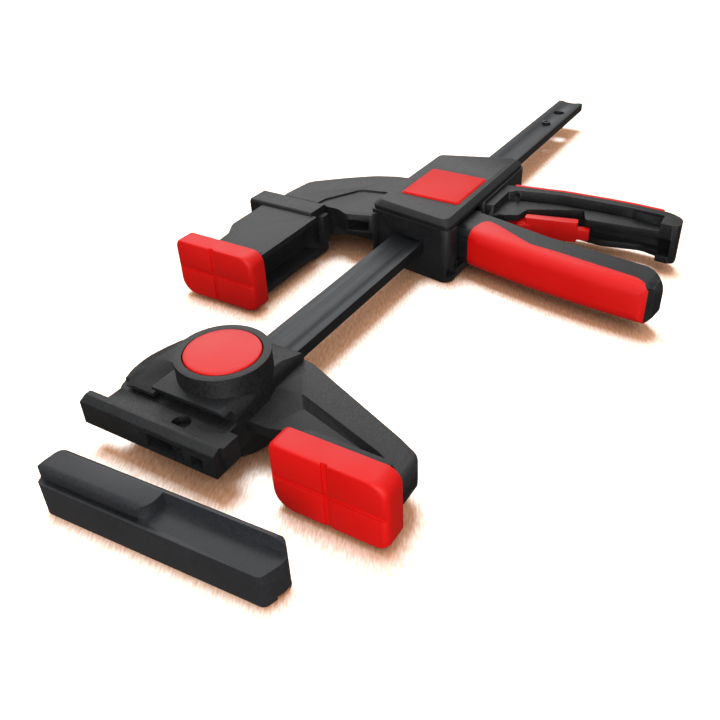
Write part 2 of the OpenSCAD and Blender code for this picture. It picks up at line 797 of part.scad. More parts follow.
// The grip covers the near side of the lever up to this line
grip_plan = [
    [near - 6, root_y + 5.5, 0], [near - 6, lever_len - 3.5, 0], [near + 6, lever_len - 3.5, 5],
    [near + 10, lever_len - 13, 8], [near + 10, 104, 10], [near + 9, 88, 12], [near + 18, 62, 14],
    [near + 20, root_y + 6, 8], [near + 6, root_y + 5.5, 3]
];

// Room that the grip takes, rounded at its outer end
module grip_room() {
    intersection() {
        slab(grip_plan, 0, body_top);
        along_x([[0, 0, 0], [lever_len - 3, handle_z0 - 1, 9], [lever_len - 3, handle_z1 + 0.5, 9],
            [0, handle_z1 + 1, 0]],
            near - 8, far + 8);
    }
}

// The near side bulges along an arc of radius near_r and has well rounded edges
module lever_mass() {
    deep = 30;
    intersection() {
        slab(lever_plan, handle_z0, handle_z1);
        translate([near + near_r, bulge_y, 0])
            rotate([0, 0, 170])
                rotate_extrude(angle = 20, $fn = 720)
                    polygon(rounded([[near_r - deep, handle_z0, 0], [near_r, handle_z0, 7],
                        [near_r, handle_z1, 7], [near_r - deep, handle_z1, 0]]));
        along_x([[root_y - 10, handle_z0, 0], [lever_len, handle_z0, 10], [lever_len, handle_z1, 9],
            [root_y - 10, handle_z1, 0]], near - 8, far + 8);
    }
}

module pump_lever() {
    nose = [7, -pin_y];
    channel = [
        [far - 13, root_y + 2, 4], [far - 13, lever_len - 14, 6], [far + 9, lever_len - 14, 0],
            [far + 9, root_y + 2, 0]
    ];
    color(plastic)
        difference() {
            union() {
                lever_place()
                    difference() {
                        lever_mass();
                        grip_room();
                        slab(channel, handle_z0 + 3.2, handle_z1 - 3.2);
                    }
                lever_place()
                    slab([[near + 3, root_y - 2, 0], [near + 8, 8, 4], [-6.4, -6.4, 6], [6.4, -6.4, 6],
                        [9, 8, 3],
                        [far + 4, root_y - 10, 3], [far + 4, root_y - 2, 0]], handle_z0, handle_z1);
                post(pin_x + nose.x, pin_y + nose.y, 3, handle_z0, handle_z1);
            }
            // fork around the bar
            box([slide_x + 5, -bar_hw - 9, bar_z0 - 1.5], [slide_x + 60, slide_hw, bar_z1 + 1.5]);
            // keeps the fork behind the drive plates through its whole swing
            slab([[pin_x + 10.05, slide_hw, 0], [pin_x + 10.05, -1, 0], [pin_x + 6, -16.5, 0],
                [pin_x + 30, -16.5, 0],
                [pin_x + 30, slide_hw, 0]], 0, body_top);
            post(pin_x, pin_y, lever_pin_d / 2 + run_fit, 0, body_top);
        }
}

module lever_grip() {
    color(red)
        lever_place()
            intersection() {
                lever_mass();
                grip_room();
            }
}

// ---- drive and brake --------------------------------------------------------------------------------------------

drive_x = pin_x + 10.3;
drive_t = 2.5;

// Jamming plate with a window for the bar
module jam_plate(x, t) {
    difference() {
        box([x, -13, mid_z - 12], [x + t, 13, mid_z + 12]);
        box([x - over, -bar_hw - 0.2, bar_z0 - 0.2], [x + t + over, bar_hw + 0.2, bar_z1 + 0.2]);
    }
}

module drive_plates() {
    color(zinc)
        for (i = [0:1])
            jam_plate(drive_x + i * (drive_t + 0.1), drive_t);
}

module drive_spring() {
    x0 = drive_x + 2 * drive_t + 0.15;
    inside = norm([bar_hw, bar_t / 2]) + 0.25;
    wire = 0.7;
    color(zinc)
        translate([x0, 0, mid_z])
            rotate([0, 90, 0])
                coil(inside + wire, wire, rib_x - 4.2 - x0, 4);
}

module brake_plate() {
    y0 = -slide_hw - 18;
    window_y = bar_hw + 0.45;
    color(zinc)
        translate([brake_x + brake_t / 2, brake_pivot_y, 0])
            rotate([0, 0, -brake_tilt])
                translate([-brake_x - brake_t / 2, -brake_pivot_y, 0])
                    difference() {
                        union() {
                            box([brake_x, -14, mid_z - 11], [brake_x + brake_t, brake_pivot_y, mid_z + 11]);
                            // rounded end that rocks in the seat
                            post(brake_x + brake_t / 2, brake_pivot_y, brake_t / 2, mid_z - 11, mid_z + 11);
                            box([brake_x, y0, mid_z - 6], [brake_x + brake_t, 0, mid_z + 2]);
                        }
                        box([brake_x - over, -window_y, bar_z0 - 0.2],
                            [brake_x + brake_t + over, window_y, bar_z1 + 0.2]);
                    }
}

module brake_spring() {
    x1 = brake_x + 10;
    color(zinc)
        translate([x1 - 0.05, -19, mid_z])
            rotate([0, -90, 0])
                coil(3.2, 0.5, 6.6, 3);
}

module release_trigger() {
    nose = [9.1, -15];
    arm_z0 = mid_z - 6;
    arm_z1 = mid_z + 2.3;
    grip_z0 = mid_z - 6.2;
    grip_z1 = mid_z + 6.2;
    color(red)
        difference() {
            union() {
                slab([[trig_x - 5, trig_y + 5, 4.5], [trig_x + 5, trig_y + 5, 4.5],
                    [trig_x + 6, trig_y - 12, 3],
                    [trig_x + 3, trig_y - 20, 3], [trig_x - 3, trig_y - 24, 2], [trig_x - 10, trig_y - 22, 2],
                    [trig_x - 8, trig_y - 8, 3]], arm_z0, arm_z1);
                post(trig_x + nose.x, trig_y + nose.y, 3, arm_z0 + 1, mid_z + 1.5);
                box([trig_x, trig_y + nose.y - 3, arm_z0 + 1],
                    [trig_x + nose.x, trig_y + nose.y + 3, mid_z + 1.5]);
                // finger piece
                slab([[trig_x - 9.5, trig_y - 20, 1.5], [trig_x - 4, trig_y - 19.5, 1.5],
                    [trig_x + 3.5, trig_y - 49, 1.5],
                    [trig_x - 2, trig_y - 50.5, 1.5]], grip_z0, grip_z1);
                slab([[trig_x - 12, trig_y - 16, 1], [trig_x - 6, trig_y - 16, 1], [trig_x - 4, trig_y - 24, 0],
                    [trig_x - 9.5, trig_y - 24, 0]], grip_z0 + 1, grip_z1 - 4.5);
                // stop tab at the end
                slab([[trig_x - 2, trig_y - 46, 0], [trig_x + 3, trig_y - 46, 0],
                    [trig_x + 5.5, trig_y - 56, 1],
                    [trig_x + 0.5, trig_y - 57, 1]], mid_z - 5, mid_z + 1.5);
            }
            post(trig_x, trig_y, trigger_pin_d / 2 + run_fit, 0, body_top);
        }
}

// ---- extension block --------------------------------------------------------------------------------------------

ext_x1 = slide_x - 14;
ext_x0 = ext_x1 - ext_len - 1;
ext_y = 73.2;

module extension_block() {
    f = 3.2;
    flange = [
        [ext_x0, ext_y - 23, 3], [ext_x1 + 1, ext_y - 22, 0], [ext_x1 + 1, ext_y + 16, 0],
            [ext_x0 + 24, ext_y + 15, 8],
        [ext_x0 + 14, ext_y + 9.5, 8], [ext_x0, ext_y + 8, 2]
    ];
    web = [
        [ext_x0, ext_y - 13, 0], [ext_x1 + 1, ext_y - 13, 0], [ext_x1 + 1, ext_y + 7, 0], [ext_x0, ext_y + 5, 0]
    ];
    br_y0 = ext_y - 18.5;
    br_y1 = ext_y + 25.5;
    br_z0 = mid_z - 17;
    br_z1 = mid_z + arm_z + 0.8;
    fit = slide_fit;
    color(plastic)
        difference() {
            union() {
                slab(flange, mid_z + arm_z - f - 1, mid_z + arm_z - 1);
                slab(flange, mid_z - arm_z, mid_z - arm_z + f);
                slab(web, mid_z - arm_z, mid_z + arm_z - 1);
                box([ext_x0, ext_y - 21, mid_z - 12], [ext_x0 + 4, ext_y + 20, mid_z + 12]);
                along_y([[ext_x1, br_z0, 2], [slide_x + 1.7, br_z0, 2], [slide_x + 1.7, br_z1, 2],
                    [ext_x1, br_z1, 2]], br_y0, br_y1);
            }
            box([slide_x - 7 - fit, br_y0 - over, mid_z - rail_head - fit],
                [slide_x - 1 + fit, br_y1 + over, mid_z + rail_head + fit]);
            box([slide_x - 2, br_y0 - over, mid_z - rail_neck - fit],
                [slide_x + 3, br_y1 + over, mid_z + rail_neck + fit]);
        }
}

module extension_pad() {
    color(red)
        translate([ext_x0 - pad_t, ext_y, mid_z - 0.5])
            pad();
}

// ---- loose support block ----------------------------------------------------------------------------------------

block_at = [-72.9, 34.5, 0];
block_turn = 2.84;

// Drawn with its front left corner at the origin, +X to the back, then turned a little as it lies
module support_block() {
    low = block_h - 6;
    mid_y = -block_len * 0.49;
    wall_t = 2.4;
    ledge = 2.2;
    slot_d = rail_d + 2 * slide_fit;
    slot_x = block_d - 3 - slot_d;
    slot_h = rail_h + 0.4;
    slot_bot = 1.2;
    slot_end = 7 - block_len;
    whole = [[0, 6 - block_len, 3], [block_d, -block_len, 6], [block_d, -3, 5], [0, 0, 4]];
    raised = [[ledge, mid_y, 7], [block_d + over, mid_y, 0], [block_d + over, over / 2, 0],
        [ledge, over / 2, 5]];
    color(plastic)
        translate(block_at)
            rotate([0, 0, block_turn])
                difference() {
                    union() {
                        slab(whole, 0, low);
                        intersection() {
                            slab(whole, low - over, block_h);
                            union() {
                                slab(raised, low - over, block_h);
                                box([block_d - wall_t, -block_len, low - over], [block_d, mid_y + 9, block_h]);
                            }
                            along_x([[-block_len, 0, 0], [0, 0, 0], [0, block_h, 3], [-block_len, block_h, 10]],
                                0, block_d);
                            along_y([[0, 0, 0], [block_d, 0, 0], [block_d, block_h, 2], [ledge, block_h, 5],
                                [ledge, low, 0], [0, low, 0]], -block_len, over);
                        }
                    }
                    // undercut line in front of the raised half
                    slab([[ledge - 0.9, mid_y + 4, 3], [ledge + 1, mid_y + 4, 3], [ledge + 1, over, 0],
                        [ledge - 0.9, over, 0]], low - 0.5, low + 1);
                    // slot in the back that slips over the rail's head, and its mouth for the rail's neck
                    box([slot_x, slot_end, slot_bot], [slot_x + slot_d, over, slot_bot + slot_h]);
                    box([slot_x + over, slot_end, slot_bot + 1.7],
                        [block_d + over, over, slot_bot + slot_h - 0.7]);
                    // foot cut away under the slanted end
                    box([5, -block_len - over, -over], [11, slot_end - 1.5, 1.5]);
                }
}

clamp_bar();
stop_pin();
pivot_post();
lock_cone();
lock_spring();
fixed_jaw();
pivot_cap();
cap_screws();
release_button();
fixed_pad();
rail_adapter();
slide_body();
body_cover();
cover_screws();
badge_plate();
handle_strip();
lever_pin();
trigger_pin();
pump_lever();
lever_grip();
drive_plates();
drive_spring();
brake_plate();
brake_spring();
release_trigger();
extension_block();
extension_pad();
support_block();
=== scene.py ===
# %% [markdown]
# # A one-handed bar clamp, lying on its side
#
# The clamp's exact solids come from CAD and are loaded as a fixed frame. Everything below gives them what
# CAD leaves out: the soft edges that moulding leaves, the grain of each surface, real coil springs, light
# and a camera. All sizes are metres, so one millimetre gets a name of its own.

# %% Load the frame
import json
import math

import bmesh
import bpy
from mathutils import Matrix, Vector

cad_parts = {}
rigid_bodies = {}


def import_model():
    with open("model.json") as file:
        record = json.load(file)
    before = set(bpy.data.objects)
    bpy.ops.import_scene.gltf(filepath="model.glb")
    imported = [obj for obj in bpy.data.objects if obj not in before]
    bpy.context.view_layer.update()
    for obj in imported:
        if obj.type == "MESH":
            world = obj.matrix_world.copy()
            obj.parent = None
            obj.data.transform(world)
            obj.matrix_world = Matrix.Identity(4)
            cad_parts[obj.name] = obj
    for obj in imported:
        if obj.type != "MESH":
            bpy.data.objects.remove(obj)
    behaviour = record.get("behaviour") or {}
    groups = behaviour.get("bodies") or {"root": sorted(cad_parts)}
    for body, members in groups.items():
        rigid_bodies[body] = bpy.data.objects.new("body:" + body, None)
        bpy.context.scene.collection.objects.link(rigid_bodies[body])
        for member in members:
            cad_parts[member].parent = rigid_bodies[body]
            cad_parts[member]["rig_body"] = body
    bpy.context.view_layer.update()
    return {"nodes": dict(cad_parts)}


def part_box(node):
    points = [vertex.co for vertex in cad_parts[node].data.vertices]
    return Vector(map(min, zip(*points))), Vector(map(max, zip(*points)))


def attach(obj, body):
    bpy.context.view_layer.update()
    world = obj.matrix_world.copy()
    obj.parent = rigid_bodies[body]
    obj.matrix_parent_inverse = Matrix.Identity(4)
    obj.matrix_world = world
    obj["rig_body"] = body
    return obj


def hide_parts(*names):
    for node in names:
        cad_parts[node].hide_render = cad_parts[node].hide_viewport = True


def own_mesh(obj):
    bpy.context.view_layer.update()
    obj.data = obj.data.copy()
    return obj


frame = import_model()
mm = 0.001

# %% [markdown]
# ## Camera
#
# The clamp is seen from above its fixed jaw, looking along the bar. A long bar seen from close by shrinks a
# lot towards its far end, so the distance matters more than the lens. The camera's place is given by where
# it stands and the two angles it looks along. A small lens shift slides the picture without turning the
# camera.

# %% Camera
stand = Vector((-186.5, -191.25, 222.9)) * mm
heading = math.radians(28.16)
dip = math.radians(33.21)
ahead = Vector((math.cos(dip) * math.cos(heading), math.cos(dip) * math.sin(heading), -math.sin(dip)))
across = Vector((math.sin(heading), -math.cos(heading), 0))
upward = across.cross(ahead)

camera = bpy.data.objects.new("camera", bpy.data.cameras.new("camera"))
camera.matrix_world = Matrix.Translation(stand) @ Matrix((across, upward, -ahead)).transposed().to_4x4()
camera.data.sensor_width = 36
camera.data.lens = 38.29
camera.data.shift_x = -0.0833
camera.data.shift_y = -0.0556
camera.data.clip_start = 0.01
bpy.context.scene.collection.objects.link(camera)
bpy.context.scene.camera = camera
print("camera stands", round(stand.length, 3), "m from the pivot")

# %% [markdown]
# ## One helper for nodes
#
# Materials and geometry trees are both made of nodes. This helper adds one node, sets what it is told, and
# joins its inputs. An input's value may be a plain number or another node's output. Colours are written as
# they look on a screen, so they are turned into linear light before a shader gets them.

# %% Node and colour helpers
def add(tree, kind, inputs=None, **settings):
    """Adds a node. inputs maps a socket's name or number to a value or to another node's socket."""
    node = tree.nodes.new(kind)
    for name, value in settings.items():
        setattr(node, name, value)
    for key, value in (inputs or {}).items():
        if isinstance(value, bpy.types.NodeSocket):
            tree.links.new(value, node.inputs[key])
        else:
            node.inputs[key].default_value = value
    return node


def linear(hex_colour):
    """Linear light of an sRGB colour written as six hex digits."""
    parts = [int(hex_colour[i:i + 2], 16) / 255 for i in (0, 2, 4)]
    return (*[c / 12.92 if c <= 0.04045 else ((c + 0.055) / 1.055) ** 2.4 for c in parts], 1)


print("black and white are", linear("000000")[0], "and", linear("ffffff")[0])

# %% [markdown]
# ## Start of every finish
#
# A finish begins with a shader and the place on the object, in millimetres. A picture could be wrapped
# round each piece instead, but it would need seams and a size for each. With noise that reads the place in
# millimetres, a scale of one over a size gives lumps of that size, so each scale comes from something real.

# %% Blank finish
def blank(name, **shader_values):
    """A material with its shader and its place in millimetres. Returns material, tree, shader and place."""
    material = bpy.data.materials.new(name)
    material.use_nodes = True
    tree = material.node_tree
    tree.nodes.clear()
    values = {socket.replace("_", " "): value for socket, value in shader_values.items()}
    shader = add(tree, "ShaderNodeBsdfPrincipled", values)
    add(tree, "ShaderNodeOutputMaterial", {"Surface": shader.outputs[0]})
    place = add(tree, "ShaderNodeTexCoord").outputs["Object"]
    in_mm = add(tree, "ShaderNodeVectorMath", {0: place, "Scale": 1 / mm}, operation="SCALE").outputs[0]
    return material, tree, shader, in_mm


print("one metre is", round(1 / mm), "units of a pattern's place")

# %% [markdown]
# ## Colour, roughness and relief
#
# A moulded, drawn or plated surface differs from place to place in three ways: its colour, its roughness
# and its height. Each finish below makes its own noise, and one function then joins it to the shader. Noise
# stays near a half, so it is stretched before it sets a roughness.

# %% Cover a shader with its patterns
MIDDLE_OF_NOISE = {"From Min": 0.3, "From Max": 0.7}


def cover(tree, shader, tint, colours, worn, roughness, relief, depth_mm):
    """tint blends two colours, worn blends two roughnesses, and relief stands depth_mm high."""
    first, second = colours
    low, high = roughness
    blend = add(tree, "ShaderNodeMix", {0: tint, 6: linear(first), 7: linear(second)}, data_type="RGBA")
    matt = add(tree, "ShaderNodeMapRange", {"Value": worn, **MIDDLE_OF_NOISE, "To Min": low, "To Max": high})
    bump = add(tree, "ShaderNodeBump", {"Height": relief, "Distance": depth_mm * mm, "Strength": 1.0})
    tree.links.new(blend.outputs[2], shader.inputs["Base Color"])
    tree.links.new(matt.outputs[0], shader.inputs["Roughness"])
    tree.links.new(bump.outputs[0], shader.inputs["Normal"])


print("noise from", *MIDDLE_OF_NOISE.values(), "is stretched to the whole range")

# %% [markdown]
# ## Glass filled nylon
#
# The jaws and handles are moulded in dark nylon with glass fibre. The mould is spark eroded, which leaves a
# fine, even sand on the surface. Its grains are about a third of a millimetre across, and are drawn at 0.8
# mm so that they show. They scatter the light, so flat faces look like slate instead of black. Broad faint
# clouds, 16 mm across, come from the fibre lying differently as the melt flows. The loose block comes from
# another mould, with a smoother wall, so its edges catch the light sooner. Its two colours are paler than
# the jaws' colours: that paleness is painted light, which brightens the block's upright front face.

# %% Glass filled nylon
def make_nylon(name, matt, depth_mm, dark, pale):
    """Nylon whose roughness is about matt, with sand depth_mm high and clouds between two colours."""
    material, tree, shader, place = blank(name, IOR=1.5, Specular_IOR_Level=0.3)
    cloud = add(tree, "ShaderNodeTexNoise", {"Vector": place, "Scale": 1 / 16, "Detail": 4}).outputs["Fac"]
    sand = add(tree, "ShaderNodeTexNoise", {"Vector": place, "Scale": 1 / 0.8, "Detail": 3}).outputs["Fac"]
    speck = add(tree, "ShaderNodeMapRange", {"Value": sand, **MIDDLE_OF_NOISE, "To Min": -0.5, "To Max": 0.5})
    tint = add(tree, "ShaderNodeMath", {0: cloud, 1: speck.outputs[0]}, operation="ADD").outputs[0]
    cover(tree, shader, tint, (dark, pale), sand, (matt - 0.1, matt + 0.1), sand, depth_mm)
    return material


nylon = make_nylon("glass_filled_nylon", matt=0.48, depth_mm=0.11, dark="0b0b0c", pale="1c1d1f")
# The smooth block's paler colours are painted light, which brightens its upright front face.
smooth_nylon_painted_pale = make_nylon("smooth_nylon_painted_pale", matt=0.4, depth_mm=0.03, dark="1e1f22", pale="2b2c2f")
print("made", nylon.name, "and", smooth_nylon_painted_pale.name)

# %% [markdown]
# ## Soft red elastomer
#
# The pads and grips are a soft thermoplastic rubber. It is matt, a little waxy, and its red is even, but
# handling leaves slightly paler patches, 22 mm across. Its texture is finer and shallower than the nylon's.

# %% Soft red elastomer
def make_elastomer():
    material, tree, shader, place = blank("soft_red_elastomer", IOR=1.48, Specular_IOR_Level=0.34)
    patches = add(tree, "ShaderNodeTexNoise", {"Vector": place, "Scale": 1 / 22, "Detail": 4}).outputs["Fac"]
    sand = add(tree, "ShaderNodeTexNoise", {"Vector": place, "Scale": 1 / 0.7, "Detail": 2}).outputs["Fac"]
    cover(tree, shader, patches, ("c60400", "d20803"), patches, (0.46, 0.58), sand, 0.04)
    return material


elastomer = make_elastomer()
print("made", elastomer.name)

# %% [markdown]
# ## Red ABS
#
# The turret's disc and the trigger are hard ABS with a satin mould finish, a texture half a millimetre wide
# that hardly stands up. Its red is cloudy over 18 mm. The badge is the same red. It lies flat to the sky,
# so it gets less shine, or it would turn pink.

# %% Red ABS
def make_abs(name, shine, matt):
    """Red ABS whose roughness is about matt."""
    material, tree, shader, place = blank(name, IOR=1.53, Specular_IOR_Level=shine)
    patches = add(tree, "ShaderNodeTexNoise", {"Vector": place, "Scale": 1 / 18, "Detail": 3}).outputs["Fac"]
    sand = add(tree, "ShaderNodeTexNoise", {"Vector": place, "Scale": 1 / 0.5, "Detail": 2}).outputs["Fac"]
    cover(tree, shader, patches, ("c20a05", "cc0f08"), patches, (matt - 0.04, matt + 0.04), sand, 0.012)
    return material


red_abs = make_abs("red_abs", shine=0.3, matt=0.42)
dull_red_abs = make_abs("dull_red_abs", shine=0.07, matt=0.4)
print("made", red_abs.name, "and", dull_red_abs.name)

# %% [markdown]
# ## Drawn steel
#
# The bar is drawn through rolls, so its marks run along it. Noise 0.7 mm wide that is stretched about
# eighty times along X gives those lines. The black oxide leaves it dark grey, and a little rubbed in places
# 25 mm across.

# %% Drawn steel
def make_drawn_steel():
    material, tree, shader, place = blank("drawn_dark_steel", Metallic=0.7)
    along = add(tree, "ShaderNodeMapping", {"Vector": place, "Scale": (0.012, 1, 1)}).outputs[0]
    lines = add(tree, "ShaderNodeTexNoise", {"Vector": along, "Scale": 1 / 0.7, "Detail": 3}).outputs["Fac"]
    rubbed = add(tree, "ShaderNodeTexNoise", {"Vector": place, "Scale": 1 / 25, "Detail": 4}).outputs["Fac"]
    cover(tree, shader, rubbed, ("202224", "2e3033"), lines, (0.36, 0.5), lines, 0.02)
    return material


drawn_steel = make_drawn_steel()
print("made", drawn_steel.name)

# %% [markdown]
# ## Zinc plated steel
#
# Springs, screws, pins and the jamming plates are plated with zinc. It is bright, slightly blue, and
# mottled by the plating's crystals, which are drawn 1.2 mm wide so that they show.

# %% Zinc plated steel
def make_zinc():
    material, tree, shader, place = blank("zinc_plated_steel", Metallic=1.0)
    crystal = add(tree, "ShaderNodeTexNoise", {"Vector": place, "Scale": 1 / 1.2, "Detail": 3}).outputs["Fac"]
    cover(tree, shader, crystal, ("a9adb2", "bfc2c4"), crystal, (0.25, 0.42), crystal, 0.01)
    return material


zinc = make_zinc()
print("made", zinc.name)

# %% [markdown]
# ## Moulded edges
#
# No moulded or rolled edge is sharp. CAD gives the main rounds, and the last quarter to one millimetre is
# made here: a copy of the solid is cleaned so that each flat face is one face again, then a bevel rounds
# every edge that turns by more than a limit. Rounding in CAD would work too, but it would make every solid
# a mesh of thousands of tiny faces.

# %% Clean copy of a solid
def clean_copy(node):
    """A copy of a solid's mesh, its corners joined and the triangles of each flat face made one face."""
    same_corner = 0.002 * mm
    same_face = math.radians(0.6)
    shape = bmesh.new()
    shape.from_mesh(frame["nodes"][node].data)
    bmesh.ops.remove_doubles(shape, verts=shape.verts, dist=same_corner)
    bmesh.ops.dissolve_limit(shape, angle_limit=same_face, verts=shape.verts, edges=shape.edges)
    mesh = bpy.data.meshes.new(node + "_rounded")
    shape.to_mesh(mesh)
    shape.free()
    return mesh


print("the bar's solid is", len(frame["nodes"]["clamp_bar"].data.polygons), "loose triangles")


# %% Shading and modifiers
def finish_mesh(mesh, smooth_angle):
    """Shades a mesh smooth, but for the edges that turn by more than smooth_angle degrees."""
    for polygon in mesh.polygons:
        polygon.use_smooth = True
    mesh.set_sharp_from_angle(angle=math.radians(smooth_angle))


def baked(piece):
    """The mesh that a piece's modifiers make. The piece gets it, and loses the modifiers."""
    made = bpy.data.meshes.new_from_object(piece.evaluated_get(bpy.context.evaluated_depsgraph_get()))
    piece.modifiers.clear()
    piece.data = made
    return made


smoothed_below = 38
print("moulded edges that turn by less than", smoothed_below, "degrees are shaded smooth")


# %% Copy a solid with rounded edges
faces_across = 3


def rounded_copy(node, edge_mm, material, from_angle=32):
    """A copy of a solid whose edges past from_angle are rounded by edge_mm. It stands in for the solid."""
    source = frame["nodes"][node]
    piece = bpy.data.objects.new(node + "_moulded", clean_copy(node))
    bpy.context.scene.collection.objects.link(piece)
    bevel = piece.modifiers.new("rounding", "BEVEL")
    bevel.width = edge_mm * mm
    bevel.segments = faces_across
    bevel.limit_method = "ANGLE"
    bevel.angle_limit = math.radians(from_angle)
    bevel.miter_outer = "MITER_ARC"
    made = baked(piece)
    made.materials.clear()
    made.materials.append(material)
    finish_mesh(made, smoothed_below)
    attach(piece, source["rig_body"])
    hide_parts(node)
    return piece


print("each round is", faces_across, "faces across")

# %% Round the moulded pieces
MOULDED = {
    "fixed_jaw": (0.7, nylon, "body_plastic"),
    "pivot_cap": (0.4, nylon, "body_plastic"),
    "rail_adapter": (0.6, nylon, "body_plastic"),
    "slide_body": (0.7, nylon, "body_plastic"),
    "body_cover": (0.8, nylon, "body_plastic"),
    "pump_lever": (0.8, nylon, "body_plastic"),
    "extension_block": (0.7, nylon, "body_plastic"),
    "support_block": (1.0, smooth_nylon_painted_pale, "body_plastic"),
    "lever_grip": (0.6, elastomer, "grip_rubber"),
    "handle_strip": (0.5, elastomer, "grip_rubber"),
    "fixed_pad": (0.3, elastomer, "pad_rubber"),
    "extension_pad": (0.3, elastomer, "pad_rubber"),
    "release_button": (0.5, red_abs, "button_plastic"),
    "release_trigger": (0.8, red_abs, "button_plastic"),
    "badge_plate": (0.5, dull_red_abs, "badge_plastic"),
    "clamp_bar": (0.5, drawn_steel, "steel_bar"),
}
for node, (edge, material, slot) in MOULDED.items():
    piece = rounded_copy(node, edge, material)
    print(node, len(piece.data.polygons), "faces")

# %% [markdown]
# ## Small metal pieces
#
# Pins, plates, the cone and the pivot post keep their CAD shape: turned and stamped steel really has crisp
# edges. They only get their finish. The screws get a slightly rounded copy, because a pressed screw head
# has no sharp rim.

# %% Plated pieces
KEPT_SHAPE = {
    "pivot_post": zinc,
    "lock_cone": zinc,
    "lever_pin": zinc,
    "trigger_pin": zinc,
    "drive_plates": zinc,
    "brake_plate": zinc,
    "stop_pin": drawn_steel,
}
for node, material in KEPT_SHAPE.items():
    frame["nodes"][node].data.materials.clear()
    frame["nodes"][node].data.materials.append(material)
for node in ("cap_screws", "cover_screws"):
    rounded_copy(node, 0.25, zinc, from_angle=50)
print("gave", len(KEPT_SHAPE), "pieces and 2 sets of screws their finish")

# %% [markdown]
# ## Wound springs
#
# Three coil springs work inside the clamp: one lifts the lock cone, one returns the drive plates and one
# holds the brake plate. A spring could be built turn by turn, but wire follows a helix, which is a rule, so
# geometry nodes wind it: a spiral is swept with a circle. The CAD springs are rougher copies of the same
# size, and each new spring takes its place and size from their boxes.

# %% Tree that winds a spring
def wire_tree():
    tree = bpy.data.node_groups.new("wound_spring", "GeometryNodeTree")
    sizes = {"Mean radius": "NodeSocketFloat", "Wire radius": "NodeSocketFloat", "Height": "NodeSocketFloat",
             "Turns": "NodeSocketFloat", "Start": "NodeSocketVector", "Tilt": "NodeSocketVector",
             "Finish": "NodeSocketMaterial"}
    for name, kind in sizes.items():
        tree.interface.new_socket(name, in_out="INPUT", socket_type=kind)
    tree.interface.new_socket("Geometry", in_out="OUTPUT", socket_type="NodeSocketGeometry")
    asked = add(tree, "NodeGroupInput").outputs
    helix = add(tree, "GeometryNodeCurveSpiral", {
        "Resolution": 48, "Rotations": asked["Turns"], "Start Radius": asked["Mean radius"],
        "End Radius": asked["Mean radius"], "Height": asked["Height"]}).outputs[0]
    round_wire = add(tree, "GeometryNodeCurvePrimitiveCircle", {
        "Resolution": 12, "Radius": asked["Wire radius"]}).outputs[0]
    wire = add(tree, "GeometryNodeCurveToMesh", {
        "Curve": helix, "Profile Curve": round_wire, "Fill Caps": True}).outputs[0]
    placed = add(tree, "GeometryNodeTransform", {
        "Geometry": wire, "Translation": asked["Start"], "Rotation": asked["Tilt"]}).outputs[0]
    whole = add(tree, "GeometryNodeRealizeInstances", {0: placed}).outputs[0]
    plated = add(tree, "GeometryNodeSetMaterial", {"Geometry": whole, "Material": asked["Finish"]}).outputs[0]
    add(tree, "NodeGroupOutput", {0: plated})
    return tree


winding = wire_tree()
print("spring tree has", len(winding.nodes), "nodes")


# %% Wind one spring
def wind(node, wire_mm, turns, along_x):
    """A spring in the place of a CAD one. It stands along Z, or lies along X."""
    low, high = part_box(node)
    wire = wire_mm * mm
    mean = (high.y - low.y) / 2 - wire
    centre = (low + high) / 2
    if along_x:
        height = high.x - low.x - 2 * wire
        start = Vector((low.x + wire, centre.y, centre.z))
    else:
        height = high.z - low.z - 2 * wire
        start = Vector((centre.x, centre.y, low.z + wire))
    values = {"Mean radius": mean, "Wire radius": wire, "Height": height, "Turns": turns, "Start": start,
              "Tilt": (0, math.pi / 2 if along_x else 0, 0), "Finish": zinc}
    piece = bpy.data.objects.new(node + "_wound", bpy.data.meshes.new(node + "_wound"))
    bpy.context.scene.collection.objects.link(piece)
    modifier = piece.modifiers.new("winding", "NODES")
    modifier.node_group = winding
    for item in winding.interface.items_tree:
        if item.in_out == "INPUT":
            modifier[item.identifier] = values[item.name]
    finish_mesh(baked(piece), smooth_angle=40)
    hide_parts(node)
    return piece


for node in ("lock_spring", "drive_spring", "brake_spring"):
    low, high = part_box(node)
    print(node, "is", [round(length / mm, 1) for length in high - low], "mm")

# %% Wind the three springs
lock_lift = wind("lock_spring", 0.5, 2, along_x=False)
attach(lock_lift, "bar")
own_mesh(lock_lift)
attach(wind("drive_spring", 0.7, 4, along_x=True), "drive")
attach(wind("brake_spring", 0.5, 3, along_x=True), "slider")
print("wound 3 springs")

# %% [markdown]
# ## Floor
#
# The floor is a tan sheet with a fine grain that runs away from the camera. It is lit so strongly that it
# turns white. Only where the clamp keeps the light away does its own colour come back, and that gives the
# warm brown contact shadows. Such a bright sheet would light the clamp from below, so it is hidden from
# reflected rays, as if dark flags stood in front of the clamp. The sky's lower half gives the little light
# that a floor sends back.

# %% Tan paper
def make_paper():
    """Paper with streaks 0.8 mm wide and five times as long."""
    material, tree, shader, place = blank("tan_paper", Roughness=0.9, Specular_IOR_Level=0.0)
    turned = add(tree, "ShaderNodeMapping", {"Vector": place, "Rotation": (0, 0, -heading)}).outputs[0]
    long = add(tree, "ShaderNodeVectorMath", {0: turned, 1: (0.2, 1, 1)}, operation="MULTIPLY").outputs[0]
    fibre = add(tree, "ShaderNodeTexNoise", {"Vector": long, "Scale": 1 / 0.8, "Detail": 3}).outputs["Fac"]
    streaks = add(tree, "ShaderNodeMapRange", {"Value": fibre, **MIDDLE_OF_NOISE}).outputs[0]
    tan = add(tree, "ShaderNodeMix", {0: streaks, 6: linear("d0946c"), 7: linear("f0bd9a")}, data_type="RGBA")
    tree.links.new(tan.outputs[2], shader.inputs["Base Color"])
    return material


tan_paper = make_paper()
print("made", tan_paper.name)


